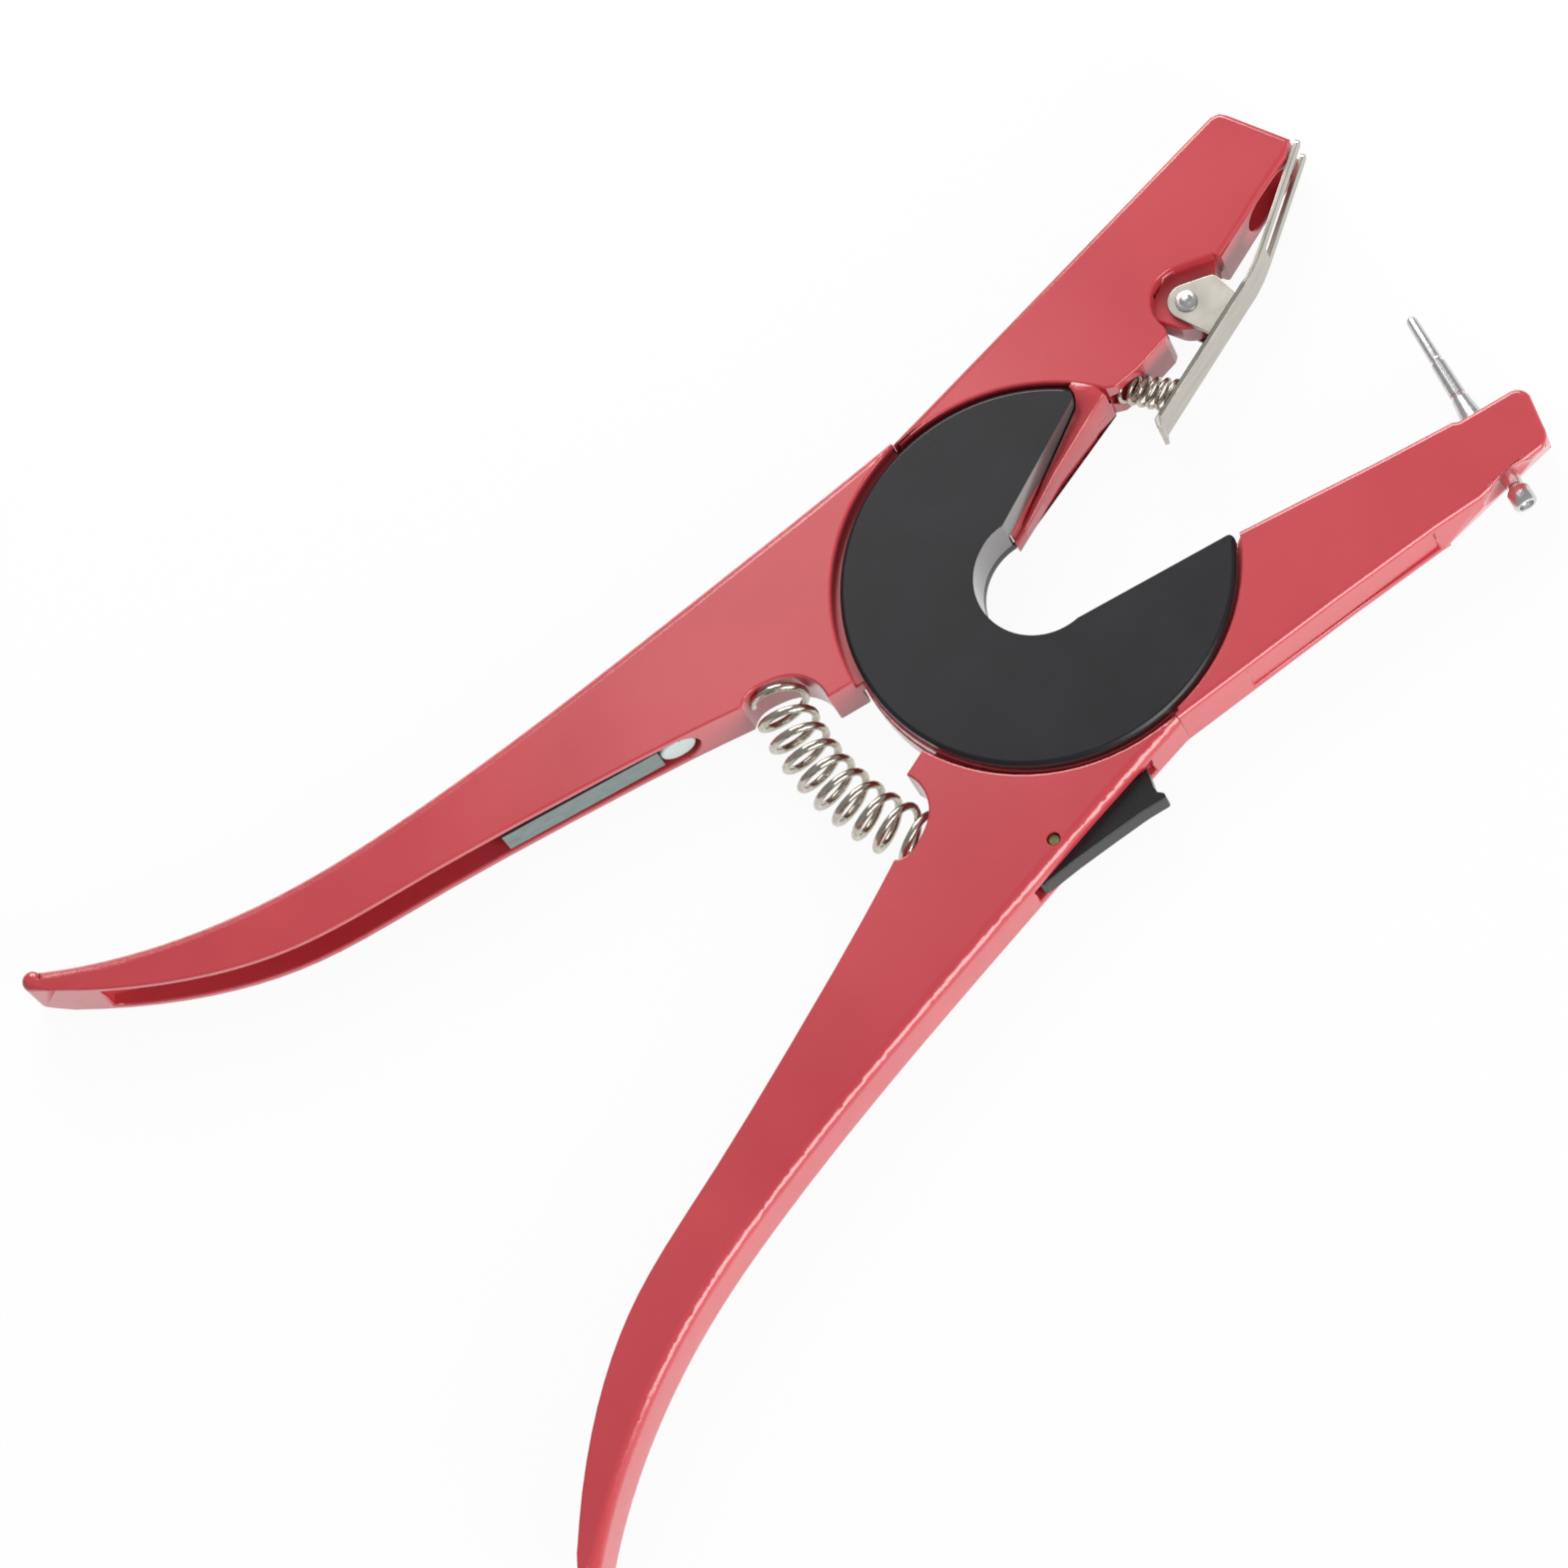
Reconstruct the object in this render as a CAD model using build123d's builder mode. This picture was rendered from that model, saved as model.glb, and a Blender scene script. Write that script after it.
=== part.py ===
from build123d import *
import math
import os

# Ear tag applicator, lying on its back and held open by its return spring.
# The jaw pivot is the origin, +X runs between the jaws, Z runs up from the back. Millimetres, degrees.

os.makedirs("parts", exist_ok=True)

# Thickness and the three layers of the hub
THICK = 11.0
REAR_TOP = 5.2
MID_LOW = 5.4
MID_TOP = 8.4
MIDPLANE = THICK / 2

# Hub radii, all worked out from the front disc
RUN_GAP = 0.3
THROAT_R = 10.9
SLEEVE_R = 15.0
DISC_R = 34.0
SKIRT_R = DISC_R - RUN_GAP
MID_RING_R = DISC_R + 0.4
REAR_RING_R = DISC_R + 0.6
WALL_R = REAR_RING_R + RUN_GAP
HANDLE_WALL_R = WALL_R + 0.7
BLANK_R = WALL_R - 0.9
REAR_DISC_R = 24.0

# Ends of the arms round the hub, as angles
HANDLE_SEAM = 92.0
JAW_SEAM = 91.45
TAB_END = 165.7
SLEEVE_FROM = 78.0
SLEEVE_TO = -93.0

# V opening from the throat to the jaws: thickness of its walls and their slopes
V_WALL = 1.65
UPPER_SLOPE = 18.6
LOWER_SLOPE = -16.1

# Handles
CHANNEL_WALL = 1.6
HANDLE_BACK = 3.7

# Return spring, on a circle round the pivot
SPRING_R = 48.65
SPRING_COIL_R = 4.6
SPRING_WIRE = 1.35
SPRING_FROM = 158.5
SPRING_TO = 201.5
SPRING_TURNS = 9.0

# Needle, in the middle of the thickness, measured from its seat on the jaw
NEEDLE_SEAT = (70.05, -33.15)
NEEDLE_ANGLE = 75.5
NEEDLE_LENGTH = 23.0
NEEDLE_FOOT_R = 2.2
NEEDLE_BODY_R = 1.65
STUD_R = 1.3
STUD_LENGTH = 16.9
NUT_R = 2.1

# Tag clip
HINGE = (51.5, 18.1)
SHEET = 0.8
CLIP_LOW = 1.5
CLIP_HIGH = 9.5
CLIP_ANGLE = 14.9
PRONG_ANGLE = 29.0
TAIL = (33.9, 5.8)
TAIL_LENGTH = 27.2
CLIP_BEND_R = 30.0
PRONG_LENGTH = 20.8
SLOT_WIDTH = 3.6
EAR_R = 3.3
RECESS_R = 6.05
LUG_LOW = 2.7
LUG_HIGH = 8.3
RIVET_R = 1.3
CLIP_SPRING_R = 2.3
CLIP_SPRING_WIRE = 0.7
CLIP_SPRING_FOOT = (39.0, 8.45)
CLIP_SPRING_HEAD = (33.9, 16.3)

# Latch lever in the right handle
LATCH_PIN = (-29.9, -36.7)
LATCH_PIN_R = 1.2
LATCH_LOW = 3.2
LATCH_HIGH = 7.8


def polar(radius, angle):
    a = math.radians(angle)
    return (radius * math.cos(a), radius * math.sin(a))


def along(start, angle, distance, side=0.0):
    a = math.radians(angle)
    return (start[0] + distance * math.cos(a) - side * math.sin(a),
            start[1] + distance * math.sin(a) + side * math.cos(a))


OUTER = [polar(WALL_R + 2.0, HANDLE_SEAM), (-18.0, 38.3), (-37.6, 40.2), (-71.0, 43.7), (-106.0, 48.8),
         (-125.0, 53.1), (-149.0, 62.6), (-167.9, 75.0)]
INNER = [(-171.0, 73.2), (-155.5, 58.3), (-133.0, 44.7), (-112.0, 38.5), (-82.0, 29.9),
         polar(SPRING_R + 6.0, 158.9)]

# Round pocket for the spring's end, from its outer lip to the tab beside the disc
POCKET = [polar(SPRING_R + 6.0, 158.9), polar(SPRING_R + 4.0, 156.9), polar(SPRING_R + 1.0, 156.2),
          polar(SPRING_R - 3.8, 156.8), polar(SPRING_R - 7.1, 160.5), polar(SPRING_R - 7.9, TAB_END)]

# Spare needle, stored in the channel of the left handle
SPARE = (-59.6, 23.4)
SPARE_ANGLE = 163.6
SPARE_HEAD = 6.2
SPARE_DEEP = 3.2

# One handle, made for the left side and mirrored for the right
with BuildPart() as handle:
    with BuildSketch():
        with BuildLine():
            Spline(*OUTER)
            ThreePointArc(OUTER[-1], (-170.9, 75.6), INNER[0])
            Spline(*INNER)
            Spline(*POCKET)
            Line(POCKET[-1], polar(BLANK_R, TAB_END))
            ThreePointArc(polar(BLANK_R, TAB_END), polar(BLANK_R, 130.0), polar(BLANK_R, HANDLE_SEAM))
            Line(polar(BLANK_R, HANDLE_SEAM), OUTER[0])
        make_face()
    extrude(amount=THICK)
    rims = handle.edges().filter_by(lambda e: abs(e.bounding_box().size.Z) < 0.01)
    fillet(rims.filter_by(lambda e: e.length > 150 and (e @ 0.5).Y > 45), 2.0)
    # Channel in the inner side, with a round blind end at the hub and a thin one at the tip
    with BuildSketch(Plane.XY.offset(CHANNEL_WALL)):
        with BuildLine():
            Spline(*[(x, y - HANDLE_BACK) for x, y in [(-65.0, 43.1)] + OUTER[3:7] + [(-161.0, 69.6)]])
            Polyline((-161.0, 65.9), (-165.0, 61.0), (-140.0, 40.0), (-112.0, 30.0), (-61.0, 15.0), (-65.0, 39.4))
        make_face()
    extrude(amount=THICK - 2 * CHANNEL_WALL, mode=Mode.SUBTRACT)
    blind = Plane(origin=(*along(SPARE, SPARE_ANGLE, 3.6), MIDPLANE), x_dir=(0, 0, 1),
                  z_dir=(*polar(1.0, SPARE_ANGLE - 90), 0))
    with BuildSketch(blind.offset(-9.0)):
        Circle(MIDPLANE - CHANNEL_WALL)
    extrude(amount=18.0, mode=Mode.SUBTRACT)

# The straight walls of the V opening start from the throat
V_TOP = polar(THROAT_R - 1.0, 94.6)
V_LOW = polar(THROAT_R, -92.6)
V_LENGTH = DISC_R * 1.5
stud = Plane(origin=(*NEEDLE_SEAT, MIDPLANE), x_dir=(*polar(1.0, NEEDLE_ANGLE), 0), z_dir=(0, 0, 1))
stud_axis = Axis((*NEEDLE_SEAT, MIDPLANE), (*polar(1.0, NEEDLE_ANGLE), 0))

# Needle arm: left handle, needle jaw and the middle ring of the hub
with BuildPart() as pin_arm:
    add(handle.part)
    with BuildSketch():
        with BuildLine():
            Line(polar(BLANK_R, -36.0), (28.4, -19.5))
            Polyline((28.4, -19.5), (39.5, -23.1), (53.7, -27.8), (66.6, -31.77), (67.6, -32.52), (76.6, -34.85))
            ThreePointArc((76.6, -34.85), (78.4, -35.9), (78.9, -37.9))
            Line((78.9, -37.9), (76.6, -43.6))
            ThreePointArc((76.6, -43.6), (75.5, -45.4), (73.6, -46.2))
            Polyline((73.6, -46.2), (60.5, -45.3), (51.5, -43.6), (31.5, -40.7), (4.9, -37.3),
                     polar(WALL_R + 1.7, -JAW_SEAM), polar(BLANK_R, -JAW_SEAM))
            ThreePointArc(polar(BLANK_R, -JAW_SEAM), polar(BLANK_R, -60.0), polar(BLANK_R, -36.0))
        make_face()
    extrude(amount=THICK)
    rims = pin_arm.edges().filter_by(lambda e: abs(e.bounding_box().size.Z) < 0.01)
    fillet(rims.filter_by(lambda e: (e @ 0.5).X > 16 and (e @ 0.5).Y < -21), 1.0)
    # Outer side of the jaw's end leans in towards the back
    with BuildSketch(Plane.YZ.offset(53.0)):
        Polygon((-43.2, -1.0), (-43.3, 0.0), (-46.0, 9.2), (-50.0, 9.2), (-50.0, -1.0), align=None)
    extrude(amount=30.0, mode=Mode.SUBTRACT)
    # Sunk panel in the outer side of the jaw
    with BuildSketch(Plane.XY.offset(2.0)):
        with BuildLine():
            Polyline((13.0, -37.9), (51.0, -43.0), (51.0, -45.0), (13.0, -40.0), close=True)
        make_face()
    extrude(amount=THICK - 4.0, mode=Mode.SUBTRACT)
    # Shallow scoop round the needle nut
    with Locations((66.0, -53.5, MIDPLANE)):
        Sphere(10.0, mode=Mode.SUBTRACT)
    # Room for the rear layer, then for the front disc
    with BuildSketch():
        Circle(WALL_R)
    extrude(amount=MID_LOW, mode=Mode.SUBTRACT)
    with BuildSketch(Plane.XY.offset(MID_TOP)):
        Circle(WALL_R)
        with Locations((-50.0, 0.0)):
            Rectangle(100.0, 80.0, mode=Mode.ADD)
        Circle(HANDLE_WALL_R, mode=Mode.INTERSECT)
    extrude(amount=THICK - MID_TOP, mode=Mode.SUBTRACT)
    # Middle ring, open where the V is
    with BuildSketch(Plane.XY.offset(MID_LOW)):
        Circle(MID_RING_R)
        Circle(SLEEVE_R, mode=Mode.SUBTRACT)
        with BuildLine():
            Polyline(along(V_TOP, UPPER_SLOPE, 0.0, V_WALL + 0.3),
                     along(V_TOP, UPPER_SLOPE, V_LENGTH, V_WALL + 0.3),
                     along(V_LOW, LOWER_SLOPE, V_LENGTH, -V_WALL - 0.6),
                     along(V_LOW, LOWER_SLOPE, 0.0, -V_WALL - 0.6), close=True)
        make_face(mode=Mode.SUBTRACT)
    extrude(amount=MID_TOP - MID_LOW)
    # Hole for the needle's stud, right through the jaw
    with BuildSketch(Plane(origin=stud_axis.position, z_dir=stud_axis.direction).offset(-25.0)):
        Circle(STUD_R)
    extrude(amount=26.0, mode=Mode.SUBTRACT)

# Clip arm: right handle, clip jaw and the rear ring of the hub
with BuildPart() as clip_arm:
    add(mirror(handle.part, about=Plane.XZ))
    with BuildSketch():
        with BuildLine():
            Line(polar(BLANK_R, JAW_SEAM), polar(WALL_R + 1.0, JAW_SEAM))
            Polyline(polar(WALL_R + 1.0, JAW_SEAM), (77.4, 39.6), (79.0, 39.0), (79.8, 37.6), (83.9, 26.3),
                     (81.0, 24.5), (73.6, 22.7), (61.0, 19.3), (60.2, 20.6), (54.9, 23.2))
            ThreePointArc((54.9, 23.2), along(HINGE, 100.0, RECESS_R), along(HINGE, 190.0, RECESS_R))
            Polyline(along(HINGE, 190.0, RECESS_R), (45.1, 15.8), (44.0, 15.2), (37.0, 14.7), (32.3, 15.1),
                     (30.5, 16.4), polar(BLANK_R, 30.0))
            ThreePointArc(polar(BLANK_R, 30.0), polar(BLANK_R, 60.0), polar(BLANK_R, JAW_SEAM))
        make_face()
    extrude(amount=THICK)
    rims = clip_arm.edges().filter_by(lambda e: abs(e.bounding_box().size.Z) < 0.01)
    fillet(rims.filter_by(lambda e: (e @ 0.5).X > 62 or (e @ 0.5).Y > 35.8), 1.0)
    # Lug that carries the clip rivet
    with BuildSketch(Plane.XY.offset(LUG_LOW)):
        with Locations(HINGE):
            Circle(4.6)
        Polygon((47.2, 16.5), (45.0, 22.0), (56.0, 26.0), (60.5, 20.5), (55.5, 15.8), align=None)
    extrude(amount=LUG_HIGH - LUG_LOW)
    with BuildSketch():
        with Locations(HINGE):
            Circle(RIVET_R)
    extrude(amount=THICK, mode=Mode.SUBTRACT)
    # Room for the middle ring, then for the front disc
    with BuildSketch(Plane.XY.offset(REAR_TOP)):
        Circle(WALL_R)
        with Locations((-50.0, 0.0)):
            Rectangle(100.0, 80.0, mode=Mode.ADD)
        Circle(HANDLE_WALL_R, mode=Mode.INTERSECT)
    extrude(amount=THICK - REAR_TOP, mode=Mode.SUBTRACT)
    # Rear ring with its lip beside the V opening
    with BuildSketch():
        Circle(REAR_RING_R)
        Circle(SLEEVE_R + RUN_GAP, mode=Mode.SUBTRACT)
        with BuildLine():
            Polyline(polar(THROAT_R - 0.6, SLEEVE_FROM - 1.0), (2.7, 9.9), (15.5, 13.4), (26.4, 15.4), (30.8, 15.9),
                     (28.0, 20.0), polar(SLEEVE_R + 0.8, SLEEVE_FROM - 1.0), close=True)
        make_face()
        with BuildLine():
            Polyline((0.0, 0.0), (2.7, 9.9), (15.5, 13.4), (26.4, 15.4), (40.0, 16.9), (45.0, 0.0),
                     along(V_LOW, LOWER_SLOPE, V_LENGTH, -RUN_GAP), along(V_LOW, LOWER_SLOPE, 0.4, -RUN_GAP),
                     close=True)
        make_face(mode=Mode.SUBTRACT)
    extrude(amount=REAR_TOP)
    # Rabbet along the lip
    with BuildSketch(Plane.XY.offset(3.2)):
        Polygon(V_TOP, along(V_TOP, UPPER_SLOPE, 30.9), (28.5, 12.0), (2.0, 8.0), align=None)
    extrude(amount=REAR_TOP - 3.2, mode=Mode.SUBTRACT)
    # Recess for the rear disc
    with BuildSketch():
        Circle(REAR_DISC_R + RUN_GAP)
        with BuildLine():
            Polyline((0.0, 0.0), polar(40.0, SLEEVE_FROM - 1.0), (45.0, 20.0),
                     along(V_LOW, LOWER_SLOPE, V_LENGTH, -RUN_GAP), along(V_LOW, LOWER_SLOPE, 30.0, -RUN_GAP),
                     close=True)
        make_face(mode=Mode.SUBTRACT)
    extrude(amount=2.2, mode=Mode.SUBTRACT)
    # Slot for the latch lever, and the hole for its pin
    with BuildSketch(Plane.XY.offset(LATCH_LOW - 0.2)):
        Polygon((-38.0, -44.5), (-38.2, -33.6), (-32.0, -33.2), (-24.0, -34.4), (-8.9, -36.3), (-9.1, -42.0),
                align=None)
    extrude(amount=LATCH_HIGH - LATCH_LOW + 0.4, mode=Mode.SUBTRACT)
    with BuildSketch():
        with Locations(LATCH_PIN):
            Circle(LATCH_PIN_R)
    extrude(amount=THICK, mode=Mode.SUBTRACT)
    # Pocket for the clip spring, leaning like the spring
    lean = (CLIP_SPRING_HEAD[0] - CLIP_SPRING_FOOT[0], CLIP_SPRING_HEAD[1] - CLIP_SPRING_FOOT[1], 0)
    with BuildSketch(Plane(origin=(*CLIP_SPRING_HEAD, MIDPLANE), z_dir=lean).offset(-5.5)):
        Circle(CLIP_SPRING_R + 0.6)
    extrude(amount=7.0, mode=Mode.SUBTRACT)
    # Cavity that takes the needle point when the jaws are shut
    cavity = Plane(origin=(75.4, 18.0, MIDPLANE), z_dir=(*polar(1.0, 100.0), 0))
    with BuildSketch(cavity):
        SlotOverall(12.0, 7.4)
    extrude(amount=11.0, mode=Mode.SUBTRACT)

# Front bearing disc with its sleeve and the walls of the V opening
with BuildPart() as front_disc:
    with BuildSketch(Plane.XY.offset(MID_TOP)):
        Circle(DISC_R)
    extrude(amount=THICK - MID_TOP)
    chamfer(front_disc.edges().group_by(Axis.Z)[-1], 0.6)
    with BuildSketch(Plane.XY.offset(MID_LOW - 0.1)):
        Circle(SLEEVE_R)
        Polygon((0.0, 0.0), along(V_TOP, UPPER_SLOPE, 0.0, V_WALL), along(V_TOP, UPPER_SLOPE, V_LENGTH, V_WALL),
                along(V_LOW, LOWER_SLOPE, V_LENGTH, -V_WALL - 0.3), along(V_LOW, LOWER_SLOPE, 0.0, -V_WALL - 0.3),
                align=None)
        Circle(SKIRT_R, mode=Mode.INTERSECT)
    extrude(amount=MID_TOP - MID_LOW + 0.1)
    with BuildSketch(Plane.XY.offset(2.0)):
        Circle(SLEEVE_R)
        with BuildLine():
            Polyline((0.0, 0.0), polar(40.0, SLEEVE_FROM), (45.0, 10.0), (20.0, -40.0), polar(40.0, SLEEVE_TO),
                     close=True)
        make_face(mode=Mode.SUBTRACT)
    extrude(amount=MID_LOW - 2.0)
    # Throat and V, with the disc's two horns rounded
    with BuildSketch() as horned:
        Circle(DISC_R)
        Circle(THROAT_R, mode=Mode.SUBTRACT)
        with BuildLine():
            Polyline((0.0, 0.0), V_TOP, along(V_TOP, UPPER_SLOPE, V_LENGTH), along(V_LOW, LOWER_SLOPE, V_LENGTH),
                     V_LOW, close=True)
        make_face(mode=Mode.SUBTRACT)
        horns = horned.vertices().filter_by(lambda v: v.X > 20.0).sort_by(Axis.Y)
        fillet(horns[0], 1.0)
        fillet(horned.vertices().filter_by(lambda v: v.X > 20.0).sort_by(Axis.Y)[-1], 2.0)
    extrude(amount=THICK, mode=Mode.INTERSECT)
    # Holes for the screws
    screw_spots = [polar(SLEEVE_R - 1.9, a) for a in (96.0, 147.0, 198.0, 249.0)]
    with BuildSketch(Plane.XY.offset(2.0)):
        with Locations(*screw_spots):
            Circle(1.0)
    extrude(amount=6.0, mode=Mode.SUBTRACT)

# Rear bearing disc, let into the back of the rear ring
with BuildPart() as rear_disc:
    with BuildSketch():
        Circle(REAR_DISC_R)
        Circle(THROAT_R, mode=Mode.SUBTRACT)
        with BuildLine():
            Polyline((0.0, 0.0), polar(40.0, SLEEVE_FROM), (45.0, 10.0), (20.0, -40.0), polar(40.0, SLEEVE_TO),
                     close=True)
        make_face(mode=Mode.SUBTRACT)
        with Locations(*screw_spots):
            Circle(1.0, mode=Mode.SUBTRACT)
    extrude(amount=2.0)
    with BuildSketch():
        with Locations(*screw_spots):
            Circle(1.9)
    extrude(amount=1.2, mode=Mode.SUBTRACT)

with BuildPart() as disc_screws:
    with BuildSketch(Plane.XY.offset(0.1)):
        with Locations(*screw_spots):
            Circle(1.8)
            RegularPolygon(0.8, 6, mode=Mode.SUBTRACT)
    extrude(amount=1.1)
    with BuildSketch(Plane.XY.offset(0.9)):
        with Locations(*screw_spots):
            Circle(1.0)
    extrude(amount=6.9)

# Needle and stud in one piece: thick foot, a neck, a step and a blunt point
with BuildPart() as needle:
    with BuildSketch(stud):
        with BuildLine():
            Polyline((-STUD_LENGTH, 0.0), (-STUD_LENGTH, STUD_R), (0.0, STUD_R), (0.0, NEEDLE_FOOT_R),
                     (1.2, NEEDLE_FOOT_R - 0.1), (4.5, NEEDLE_BODY_R), (6.6, NEEDLE_BODY_R), (6.9, 1.4),
                     (7.2, 1.5), (11.5, 1.5), (11.8, 1.3), (NEEDLE_LENGTH - 0.6, 1.0), (NEEDLE_LENGTH, 0.6),
                     (NEEDLE_LENGTH, 0.0), close=True)
        make_face()
    revolve(axis=stud_axis)

# Nut on the stud's end: a turned knob, hollow round the stud
with BuildPart() as needle_nut:
    with BuildSketch(stud):
        with BuildLine():
            Polyline((-17.4, 1.6), (-17.4, NUT_R - 0.2), (-17.2, NUT_R), (-14.2, NUT_R), (-13.9, NUT_R - 0.3),
                     (-13.9, STUD_R), (-16.4, STUD_R), (-16.4, 1.6), close=True)
        make_face()
    revolve(axis=stud_axis)

# Spare needle stored along the channel of the left handle
lying = Plane(origin=(*along(SPARE, SPARE_ANGLE, 0.3), MIDPLANE), x_dir=(*polar(1.0, SPARE_ANGLE), 0),
              z_dir=(*polar(1.0, SPARE_ANGLE - 90), 0))
with BuildPart() as spare_head:
    with BuildSketch(lying):
        SlotOverall(SPARE_HEAD + 0.4, SPARE_HEAD, align=(Align.MIN, Align.CENTER))
    extrude(amount=SPARE_DEEP)
    fillet(spare_head.edges().filter_by(lambda e: abs((lying.to_local_coords(e) @ 0.5).Z) < 0.01), 0.6)

with BuildPart() as spare_needle:
    with BuildSketch(lying):
        with Locations((SPARE_HEAD + 0.5, 0.0)):
            Rectangle(30.0, SPARE_HEAD - 0.4, align=(Align.MIN, Align.CENTER))
    extrude(amount=SPARE_DEEP - 0.2)

# Tag clip: one bent strip with a fork in front, a lip at the tail and two ears
with BuildPart() as tag_clip:
    bend = along(TAIL, CLIP_ANGLE, TAIL_LENGTH)
    inner_bend = along(bend, CLIP_ANGLE, 0.0, SHEET)
    turn = PRONG_ANGLE - CLIP_ANGLE
    with BuildSketch(Plane.XY.offset(CLIP_LOW)):
        with BuildLine():
            outer = JernArc(start=bend, tangent=polar(1.0, CLIP_ANGLE), radius=CLIP_BEND_R, arc_size=turn)
            inner = JernArc(start=inner_bend, tangent=polar(1.0, CLIP_ANGLE), radius=CLIP_BEND_R - SHEET,
                            arc_size=turn)
            fork = tuple(outer @ 1)[:2]
            Polyline(outer @ 1, along(fork, PRONG_ANGLE, PRONG_LENGTH), along(fork, PRONG_ANGLE, PRONG_LENGTH, SHEET),
                     inner @ 1)
            Polyline(inner_bend, along(TAIL, CLIP_ANGLE, -0.7, SHEET), along(TAIL, CLIP_ANGLE, -1.8, -0.5),
                     along(TAIL, CLIP_ANGLE, -1.2, -1.0), TAIL, bend)
        make_face()
    extrude(amount=CLIP_HIGH - CLIP_LOW)
    with BuildSketch(Plane.XY.offset(MIDPLANE - SLOT_WIDTH / 2)):
        Polygon(along(fork, PRONG_ANGLE, 0.9, -2.0), along(fork, PRONG_ANGLE, 0.9, 3.0),
                along(fork, PRONG_ANGLE, PRONG_LENGTH + 3.0, 3.0), along(fork, PRONG_ANGLE, PRONG_LENGTH + 3.0, -2.0),
                align=None)
    extrude(amount=SLOT_WIDTH, mode=Mode.SUBTRACT)
    fork_end = along(fork, PRONG_ANGLE, PRONG_LENGTH - 2.0)[0]
    prong_corners = tag_clip.edges().filter_by(lambda e: (e @ 0.5).X > fork_end and e.length < SHEET + 0.1 and
                                               abs(e.bounding_box().size.Z) < 0.01)
    fillet(prong_corners, 0.9)
    for low in (CLIP_LOW, CLIP_HIGH - SHEET):
        with BuildSketch(Plane.XY.offset(low)):
            with Locations(HINGE):
                Circle(EAR_R)
            Polygon(along(HINGE, 190.0, EAR_R), along(TAIL, CLIP_ANGLE, 17.0, 0.2), along(TAIL, CLIP_ANGLE, 25.6, 0.2),
                    (58.3, 17.6), (57.9, 18.5), along(HINGE, 66.0, EAR_R), align=None)
            with Locations(HINGE):
                Circle(RIVET_R + 0.06, mode=Mode.SUBTRACT)
        extrude(amount=SHEET)

# Rivet through both ears, with domed heads
with BuildPart() as clip_rivet:
    for low, high, radius in ((CLIP_LOW - 0.8, CLIP_LOW, 1.9), (CLIP_LOW, CLIP_HIGH, RIVET_R),
                              (CLIP_HIGH, CLIP_HIGH + 0.8, 1.9)):
        with BuildSketch(Plane.XY.offset(low)):
            with Locations(HINGE):
                Circle(radius)
        extrude(amount=high - low)
    domes = clip_rivet.edges().filter_by(GeomType.CIRCLE).sort_by(Axis.Z)
    fillet([domes[0], domes[-1]], 0.7)

# Latch lever, a thin wedge, and its pin sunk below both faces
with BuildPart() as latch_lever:
    with BuildSketch(Plane.XY.offset(LATCH_LOW)):
        with BuildLine():
            Spline((-36.9, -39.6), (-34.5, -37.4), (-29.9, -35.0), (-20.0, -36.2), (-10.2, -37.6))
            Polyline((-10.2, -37.6), (-11.8, -41.0), (-11.9, -42.1), (-11.2, -43.1), (-11.6, -44.0),
                     (-15.7, -43.0), (-22.1, -42.0), (-29.8, -40.9), (-36.0, -40.3), (-36.9, -39.6))
        make_face()
        with Locations(LATCH_PIN):
            Circle(LATCH_PIN_R + 0.06, mode=Mode.SUBTRACT)
    extrude(amount=LATCH_HIGH - LATCH_LOW)

with BuildPart() as latch_pin:
    with BuildSketch(Plane.XY.offset(0.6)):
        with Locations(LATCH_PIN):
            Circle(LATCH_PIN_R)
    extrude(amount=THICK - 1.2)
    chamfer(latch_pin.edges().filter_by(GeomType.CIRCLE), 0.3)


def coil(place, turns, steps):
    points = [place(turns * k / (turns * steps), 360.0 * k / steps) for k in range(int(turns * steps) + 1)]
    return Spline(*points)


def return_place(done, angle):
    a = math.radians(angle)
    around = SPRING_FROM + (SPRING_TO - SPRING_FROM) * done / SPRING_TURNS
    radius = SPRING_R + SPRING_COIL_R * math.cos(a)
    return (*polar(radius, around), MIDPLANE + SPRING_COIL_R * math.sin(a))


with BuildPart() as return_spring:
    with BuildLine() as return_path:
        coil(return_place, SPRING_TURNS, 10)
    with BuildSketch(Plane(origin=return_path.line @ 0, z_dir=return_path.line % 0)):
        RegularPolygon(SPRING_WIRE / 2, 8)
    sweep(path=return_path.line, is_frenet=True)

CLIP_SPRING_TURNS = 5.5
clip_spring_angle = math.degrees(math.atan2(lean[1], lean[0]))
clip_spring_length = math.hypot(lean[0], lean[1])


def clip_place(done, angle):
    a = math.radians(angle)
    centre = along(CLIP_SPRING_FOOT, clip_spring_angle, clip_spring_length * done / CLIP_SPRING_TURNS)
    spot = along(centre, CLIP_ANGLE, CLIP_SPRING_R * math.cos(a))
    return (*spot, MIDPLANE + CLIP_SPRING_R * math.sin(a))


with BuildPart() as clip_spring:
    with BuildLine() as clip_path:
        coil(clip_place, CLIP_SPRING_TURNS, 10)
    with BuildSketch(Plane(origin=clip_path.line @ 0, z_dir=clip_path.line % 0)):
        RegularPolygon(CLIP_SPRING_WIRE / 2, 6)
    sweep(path=clip_path.line, is_frenet=True)

for name, piece in (
    ("pin_arm", pin_arm), ("clip_arm", clip_arm), ("front_disc", front_disc), ("rear_disc", rear_disc),
    ("disc_screws", disc_screws), ("needle", needle), ("needle_nut", needle_nut),
    ("spare_head", spare_head), ("spare_needle", spare_needle), ("tag_clip", tag_clip),
    ("clip_rivet", clip_rivet), ("latch_lever", latch_lever), ("latch_pin", latch_pin),
    ("return_spring", return_spring), ("clip_spring", clip_spring),
):
    piece.part.label = name
    export_step(piece.part, "parts/" + name + ".step")
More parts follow.
